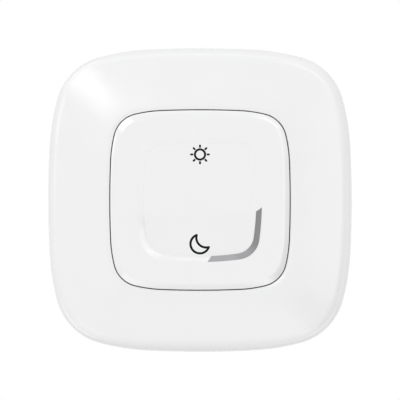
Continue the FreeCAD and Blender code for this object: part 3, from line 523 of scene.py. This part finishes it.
def slanted(outline, cut):
    """Angles that bring the strip's end spokes to where its slanting ends lie on an outline."""
    tip = end_angle(outline, cut)
    first_end, last_end = strip_spokes
    knots = (
        (0.0, 0.0), (even_until, even_until),
        (first_end, 270.0 + tip), (last_end, 360.0 - tip), (360.0, 360.0),
    )

    def warp(angle):
        for (low, first), (high, last) in zip(knots, knots[1:]):
            if angle <= high:
                return first + (last - first) * (angle - low) / (high - low)

    return warp


def key_ring(inset):
    return ring_of(joint_outline, -joint_gap / 2 - inset)


rings = [
    (key_ring(0.0), key_back),
    (key_ring(0.0), key_face - bevel_height - skirt_lip),
    (key_ring(skirt_lip_inset), key_face - bevel_height),
]
bevel_first_row = len(rings) - 1
for step in range(bevel_steps + 1):
    across = bevel_start + (1 - bevel_start) * step / bevel_steps
    drop = bevel_height * (1 - across) ** bevel_curve
    rings.append((key_ring(bevel_width * across), key_face - drop))
bevel_rows = (bevel_first_row, len(rings) - 1)
rings.append((key_ring(bevel_width + face_edge), key_face))
rings.append((between(key_ring(bevel_width), ring_of(scoop_outline), 0.5), key_face))
rings.append((ring_of(scoop_outline, scoop_edge), key_face))
scoop_warp = slanted(scoop_outline, scoop_cut)
floor_warp = slanted(floor_outline, floor_cut)
rings.append((ring_of(scoop_outline), key_face, scoop_warp))
rim_row = len(rings) - 1
for share, drop in wall_shares:
    rings.append((
        between(ring_of(scoop_outline), ring_of(floor_outline), share),
        part_sunk(drop),
        between(scoop_warp, floor_warp, share),
    ))
wall_rows = (rim_row, len(rings) - 1)
rings.append((ring_of(floor_outline, -scoop_edge), sunk))
for share in floor_shares:
    rings.append((ring_of(floor_outline, share=share), sunk))
key_cap = sweep("key_cap_shell", rings)
bpy.ops.mesh.merge(type="CENTER")


def spans(values, ends):
    return ends[0] <= min(values) and max(values) <= ends[1]


# The strip's slot: its stretch of the scoop's wall goes straight back to the carrier.
shell = bmesh.from_edit_mesh(key_cap.data)
row = shell.verts.layers.int["row"]
spoke = shell.verts.layers.int["spoke"]
strip_places = [spokes.index(end) for end in strip_spokes]
for face in shell.faces:
    on_wall = spans([point[row] for point in face.verts], wall_rows)
    face.select_set(on_wall and spans([point[spoke] for point in face.verts], strip_places))
bmesh.update_edit_mesh(key_cap.data)
bpy.ops.mesh.extrude_region()
shell = bmesh.from_edit_mesh(key_cap.data)
row = shell.verts.layers.int["row"]
for point in shell.verts:
    if point.select:
        point.co.y = -slot_floor

# The skirt's inside and the key's back, which lies on the carrier.
for edge in shell.edges:
    edge.select_set(all(point[row] == 0 for point in edge.verts) and len(edge.link_faces) == 1)
shell.select_flush_mode()
bmesh.update_edit_mesh(key_cap.data)
for inset, depth in (
    (skirt_wall, key_back), (skirt_wall, carrier_front), (back_middle, carrier_front),
):
    bpy.ops.mesh.extrude_edges_indiv()
    lay_ring(key_cap, 0, key_ring(inset), depth)
bpy.ops.mesh.merge(type="CENTER")

finish_shell(key_cap, white, "key", "key_cap", sharp=40.0)
polished = moulded(
    "white_polished", Coat_Weight=1.0, Coat_Roughness=0.12, Coat_IOR=1.8, **white_look
)
key_cap.data.materials.append(polished.material)
point_rows = [value.value for value in key_cap.data.attributes["row"].data]
for face in key_cap.data.polygons:
    rows = [point_rows[index] for index in face.vertices]
    if spans(rows, bevel_rows) or spans(rows, wall_rows):
        face.material_index = 1

# Light strip: a moulding in milky grey plastic, which sits in its slot from behind. It carries the
# scoop's wall on round the lower right corner and spreads the light guide's light.

strip_clearance = 0.00004
strip_seat = 0.00001
strip_steps = 142
strip_rows = 4
end_gap = 0.002
bpy.ops.object.select_all(action="DESELECT")
bpy.ops.mesh.primitive_grid_add(x_subdivisions=strip_steps, y_subdivisions=strip_rows, size=2.0)
key_lens = bpy.context.object
key_lens.name = "key_lens_strip"
first_end, last_end = strip_spokes
for point in key_lens.data.vertices:
    along = end_gap + (1 - 2 * end_gap) * (point.co.x + 1) / 2
    share = (point.co.y + 1) / 2
    run = first_end + (last_end - first_end) * along
    angle = scoop_warp(run)
    outer_x, outer_z = polar(angle, scoop_outline.reach(angle, -strip_clearance))
    angle = floor_warp(run)
    inner_x, inner_z = polar(angle, floor_outline.reach(angle, strip_clearance))
    x = outer_x + (inner_x - outer_x) * share
    z = outer_z + (inner_z - outer_z) * share
    point.co = (x, -part_sunk(share)(inner_x, inner_z), z)
bpy.ops.object.mode_set(mode="EDIT")
bpy.ops.mesh.select_all(action="SELECT")
bpy.ops.mesh.extrude_region()
shell = bmesh.from_edit_mesh(key_lens.data)
for point in shell.verts:
    if point.select:
        point.co.y = -slot_floor - strip_seat
bmesh.update_edit_mesh(key_lens.data)

milky = Finish("milky_strip", IOR=1.45)
cloudy = milky.noise(400.0, 3.0)
# Painted light and shade: the strip's colour is painted lighter along its bottom stretch and
# darker up its right stretch, by x, in place of the light that falls differently on the two
# stretches.
painted_light_end_x = 0.0101
painted_shade_x = 0.0168
sideways = milky.add("ShaderNodeSeparateXYZ", {}, {"Vector": milky.place}, "X")
painted_light_share = 1 - sideways.within(painted_light_end_x, painted_shade_x)
base = milky.blend(painted_light_share, (0.233, 0.233, 0.240, 1.0), (0.385, 0.385, 0.393, 1.0))
milky.colour(milky.blend(cloudy * 0.12, base, (0.42, 0.42, 0.43, 1.0)))
milky.roughness(0.32 + (cloudy - 0.5) * 0.1)
milky.relief(cloudy, 0.000003)
finish_shell(key_lens, milky, "key", "key_lens")

# Prints: a sun above and a moon below, pad-printed on the key in near-black ink. The ink stands
# four thousandths of a millimetre proud, and its solid reaches into the key, so that no gap shows.

ink_height = 0.000004
ink_depth = 0.00002
ink = Finish("print_ink", Specular_IOR_Level=0.15)
speckle = ink.noise(2500.0, 3.0)
ink.colour(ink.blend(speckle, (0.003, 0.003, 0.0033, 1.0), (0.006, 0.006, 0.0064, 1.0)))
ink.roughness(0.45 + (speckle - 0.5) * 0.15)
ink.relief(speckle, 0.000002)


def arc_points(x, z, radius, first, last, steps):
    """Points on a circle from one angle to another, in degrees."""
    points = []
    for step in range(steps + 1):
        away_x, away_z = polar(first + (last - first) * step / steps, radius)
        points.append((x + away_x, z + away_z))
    return points


def printed(name, loops):
    """Fill the space between closed outlines, lay it on the key's face and make it solid."""
    mesh = bpy.data.meshes.new(name)
    points = []
    edges = []
    for loop in loops:
        start = len(points)
        size = len(loop)
        points += [(x, 0.0, z) for x, z in loop]
        edges += [(start + number, start + (number + 1) % size) for number in range(size)]
    mesh.from_pydata(points, edges, [])
    piece = bpy.data.objects.new(name, mesh)
    bpy.context.scene.collection.objects.link(piece)
    bpy.ops.object.select_all(action="DESELECT")
    bpy.context.view_layer.objects.active = piece
    piece.select_set(True)
    bpy.ops.object.mode_set(mode="EDIT")
    bpy.ops.mesh.select_all(action="SELECT")
    bpy.ops.mesh.fill()
    bpy.ops.mesh.select_all(action="SELECT")
    bpy.ops.mesh.extrude_region()
    shell = bmesh.from_edit_mesh(mesh)
    for point in shell.verts:
        lift = ink_height if point.select else -ink_depth
        point.co.y = -sunk(point.co.x, point.co.z) - lift
    bmesh.update_edit_mesh(mesh)
    bpy.ops.mesh.select_all(action="SELECT")
    bpy.ops.mesh.normals_make_consistent(inside=False)
    bpy.ops.object.mode_set(mode="OBJECT")
    mesh.materials.append(ink.material)
    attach(piece, "key")
    return piece


# The sun is a ring with eight round-ended rays.
sun_height = 0.0139
sun_radius = 0.00155
sun_stroke = 0.00067
sun_steps = 64
ray_start = 0.0020
ray_end = 0.00304
ray_half = sun_stroke * 0.46
ray_steps = 10
sun_loops = []
for side in (1, -1):
    radius = sun_radius + sun_stroke / 2 * side
    sun_loops.append(arc_points(0, sun_height, radius, 0, 360, sun_steps)[:-1])
for number in range(8):
    turn = 45.0 * number
    loop = []
    for reach, side in ((ray_end - ray_half, 1), (ray_start + ray_half, -1)):
        x, z = polar(turn, reach)
        first = turn - 90.0 * side
        loop += arc_points(x, sun_height + z, ray_half, first, first + 180.0, ray_steps)
    sun_loops.append(loop)
sun = printed("sun_print", sun_loops)

# The moon is a circle with a bite out of it, and its stroke runs along both arcs.
moon_x, moon_z, moon_radius = -0.00002, -0.01341, 0.00288
bite_x, bite_z, bite_radius = 0.00188, -0.01150, 0.00300
moon_stroke = 0.00070
half = moon_stroke / 2
moon_steps = 72
bite_steps = 48
tip_steps = 12
apart = math.hypot(bite_x - moon_x, bite_z - moon_z)
towards = math.degrees(math.atan2(bite_z - moon_z, bite_x - moon_x))


def opening(near, far):
    """Half the angle, seen from a circle's middle, between the two points where circles cross."""
    return math.degrees(math.acos((near * near - far * far + apart * apart) / (2 * apart * near)))


def moon_arc(radius, gap):
    return arc_points(moon_x, moon_z, radius, towards + gap, towards + 360 - gap, moon_steps)


def bite_arc(radius, gap):
    turn = towards + 180
    return arc_points(bite_x, bite_z, radius, turn + gap, turn - gap, bite_steps)


def tip_arc(side, first, last):
    """The stroke's round end at the upper tip, with side 1, or at the lower one, with side -1."""
    x, z = polar(towards + moon_open * side, moon_radius)
    return arc_points(moon_x + x, moon_z + z, half, first, last, tip_steps)[1:-1]


moon_open = opening(moon_radius, bite_radius)
bite_open = opening(bite_radius, moon_radius)
lower_turn = towards - moon_open
upper_turn = towards + moon_open
outer = moon_arc(moon_radius + half, moon_open)
outer += tip_arc(-1, lower_turn, lower_turn + 180 + bite_open - moon_open)
outer += bite_arc(bite_radius - half, bite_open)
outer += tip_arc(1, upper_turn - 180 - bite_open + moon_open, upper_turn)
inner = moon_arc(moon_radius - half, opening(moon_radius - half, bite_radius + half))
inner += bite_arc(bite_radius + half, opening(bite_radius + half, moon_radius - half))[1:-1]
moon = printed("moon_print", [outer, inner])

# Floor: a plain pale ground a forearm's length below the switch. It isn't part of the object,
# shows only in views from above, and neither lights nor shades the switch.

floor_drop = 0.35
floor_size = 10.0
bpy.ops.object.select_all(action="DESELECT")
bpy.ops.mesh.primitive_plane_add(size=floor_size)
floor = bpy.context.object
floor.name = "floor"
for point in floor.data.vertices:
    point.co.z = -floor_drop
pale = Finish("pale_floor", Specular_IOR_Level=0.0)
patches = pale.noise(2.0)
pale.colour(pale.blend(patches, (0.80, 0.80, 0.80, 1.0), (0.82, 0.82, 0.82, 1.0)))
pale.roughness(0.7 + (patches - 0.5) * 0.1)
floor.data.materials.append(pale.material)
floor.visible_diffuse = False
floor.visible_glossy = False
floor.visible_shadow = False

# Light: white surroundings and one weak soft lamp. The plain map lights every surface, a little
# more from the front, above and the left. Only mirroring rays meet the other map, with the soft
# boxes and unlit gaps that the glossy plate and key show. The camera sees white.

world = bpy.data.worlds.new("surround")
bpy.context.scene.world = world
surround = Finish(world)
heading = surround.add("ShaderNodeTexCoord", {}, {}, "Generated")
ahead = (0.0, -1.0, 0.0)
box_rise = 0.08
box_fade = 0.25


def towards_way(direction):
    """How far the looked-at place lies in a direction, from -1 to 1."""
    inputs = {0: heading, 1: direction}
    return surround.add("ShaderNodeVectorMath", {"operation": "DOT_PRODUCT"}, inputs, "Value")


def sector(turn, spread, soft, near, far):
    """1 in a sector of the directions in front, and 0 elsewhere. It lies at a turn round the line
    straight ahead and spreads to both sides of it, in degrees. near and far, where it starts and
    ends, are sines of angles from that line."""
    x, z = polar(turn, 1.0)
    reach = towards_way((x, 0.0, z))
    wide = abs(towards_way((-z, 0.0, x))) - reach * math.tan(math.radians(spread))
    band = reach.within(near, near + box_rise) * (1 - reach.within(far, far + box_fade))
    return (1 - wide.within(-soft, soft)) * band * towards_way(ahead).within(0.0, 0.2)


def grey(level):
    return (level, level, level, 1.0)


bright_side = towards_way((-0.264, -0.782, 0.563)).within(-1.0, 1.0)
plain = surround.blend(bright_side, (0.584, 0.584, 0.600, 1.0), (1.152, 1.152, 1.160, 1.0))

# What the plate's rim and shoulder mirror from behind the plate: a turn and a level each.
behind = grey(0.85)
for turn, level in ((132.0, 2.2), (228.0, 2.6), (304.0, 2.0)):
    x, z = polar(turn, 1.0)
    corner = towards_way((x, 0.0, z)).within(0.8, 0.98)
    behind = surround.blend(corner, behind, grey(level))
mirrored = surround.blend(towards_way(ahead).within(-0.3, 0.1), behind, grey(0.80))

# What the faces, bevel and scoop mirror from in front: turn, spread, soft edge, near, far, level.
for *shape, level in (
    (290.0, 9.0, 0.08, 0.1, 0.85, 1.5),
    (318.0, 22.0, 0.04, 0.04, 0.42, 0.0),
    (336.0, 25.0, 0.1, 0.58, 0.97, 0.0),
    (95.0, 38.0, 0.1, 0.84, 0.95, 1.3),
    (169.0, 10.0, 0.1, 0.84, 0.98, 2.2),
    (133.0, 15.0, 0.1, 0.3, 0.9, 3.1),
    (131.0, 12.0, 0.045, 0.05, 0.3, 5.4),
    (10.0, 20.0, 0.1, 0.14, 0.45, 1.45),
    (242.0, 20.0, 0.1, 0.4, 0.98, 1.5),
    (22.0, 16.0, 0.1, 0.48, 0.64, 1.5),
    (57.0, 22.0, 0.06, 0.56, 0.64, 2.3),
):
    mirrored = surround.blend(sector(*shape), mirrored, grey(level))


def ray_is(kind):
    return surround.add("ShaderNodeLightPath", {}, {}, f"Is {kind} Ray")


lit = surround.blend(ray_is("Glossy"), plain, mirrored)
shown = surround.blend(ray_is("Camera") + ray_is("Transmission"), lit, grey(1.0))
surround.feed(world.node_tree.nodes["Background"].inputs["Color"], shown)

lamp_data = bpy.data.lights.new("soft_lamp", "AREA")
lamp_data.shape = "SQUARE"
lamp_data.size = 0.17
lamp_data.energy = 0.01
soft_lamp = bpy.data.objects.new("soft_lamp", lamp_data)
bpy.context.scene.collection.objects.link(soft_lamp)
soft_lamp.location = (-0.431, -0.321, 0.157)
soft_lamp.rotation_mode = "QUATERNION"
soft_lamp.rotation_quaternion = soft_lamp.location.to_track_quat("Z", "Y")
soft_lamp.visible_camera = False

# Camera: straight in front, far off with a long lens, as the photograph shows no side of the
# plate. The picture's width is measured four tenths of the plate's depth in front of the wall.

picture_width = 0.12239
picture_depth = plate_front * 0.4
camera_data = bpy.data.cameras.new("camera")
camera_data.lens = 1200.0
camera_data.clip_end = 20.0
camera = bpy.data.objects.new("camera", camera_data)
bpy.context.scene.collection.objects.link(camera)
distance = picture_width * camera_data.lens / camera_data.sensor_width
camera.location = (0.0, -distance - picture_depth, 0.0)
camera.rotation_euler = (math.radians(90), 0, 0)
bpy.context.scene.camera = camera
bpy.context.scene.view_settings.view_transform = "Standard"
